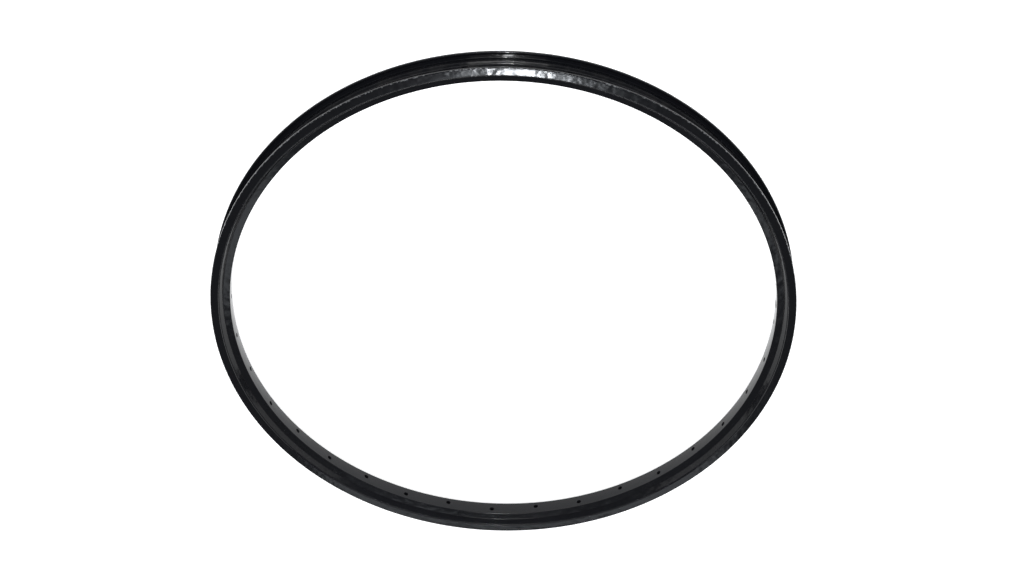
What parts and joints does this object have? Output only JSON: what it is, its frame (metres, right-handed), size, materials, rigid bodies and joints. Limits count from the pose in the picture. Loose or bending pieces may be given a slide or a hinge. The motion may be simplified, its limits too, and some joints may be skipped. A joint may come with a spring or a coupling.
{
  "type": "bicycle wheel rim",
  "caption": "Bare double-wall bicycle wheel rim with a hooked tyre channel, a staggered ring of spoke holes and a valve hole, in gloss black.",
  "frame": {"origin": "the wheel's centre, on the rim's mid-plane", "axes": "+Z along the wheel's axis, +X through the valve hole; the rim lies flat"},
  "size_m": [0.572, 0.572, 0.0306],
  "materials": {
    "black_anodised_aluminium": "gloss black anodised",
    "pin_steel": "zinc plated steel rod"
  },
  "bodies": {
    "root": {"rim_hoop": "black_anodised_aluminium", "joint_pin_upper": "pin_steel", "joint_pin_lower": "pin_steel"}
  },
  "joints": []
}
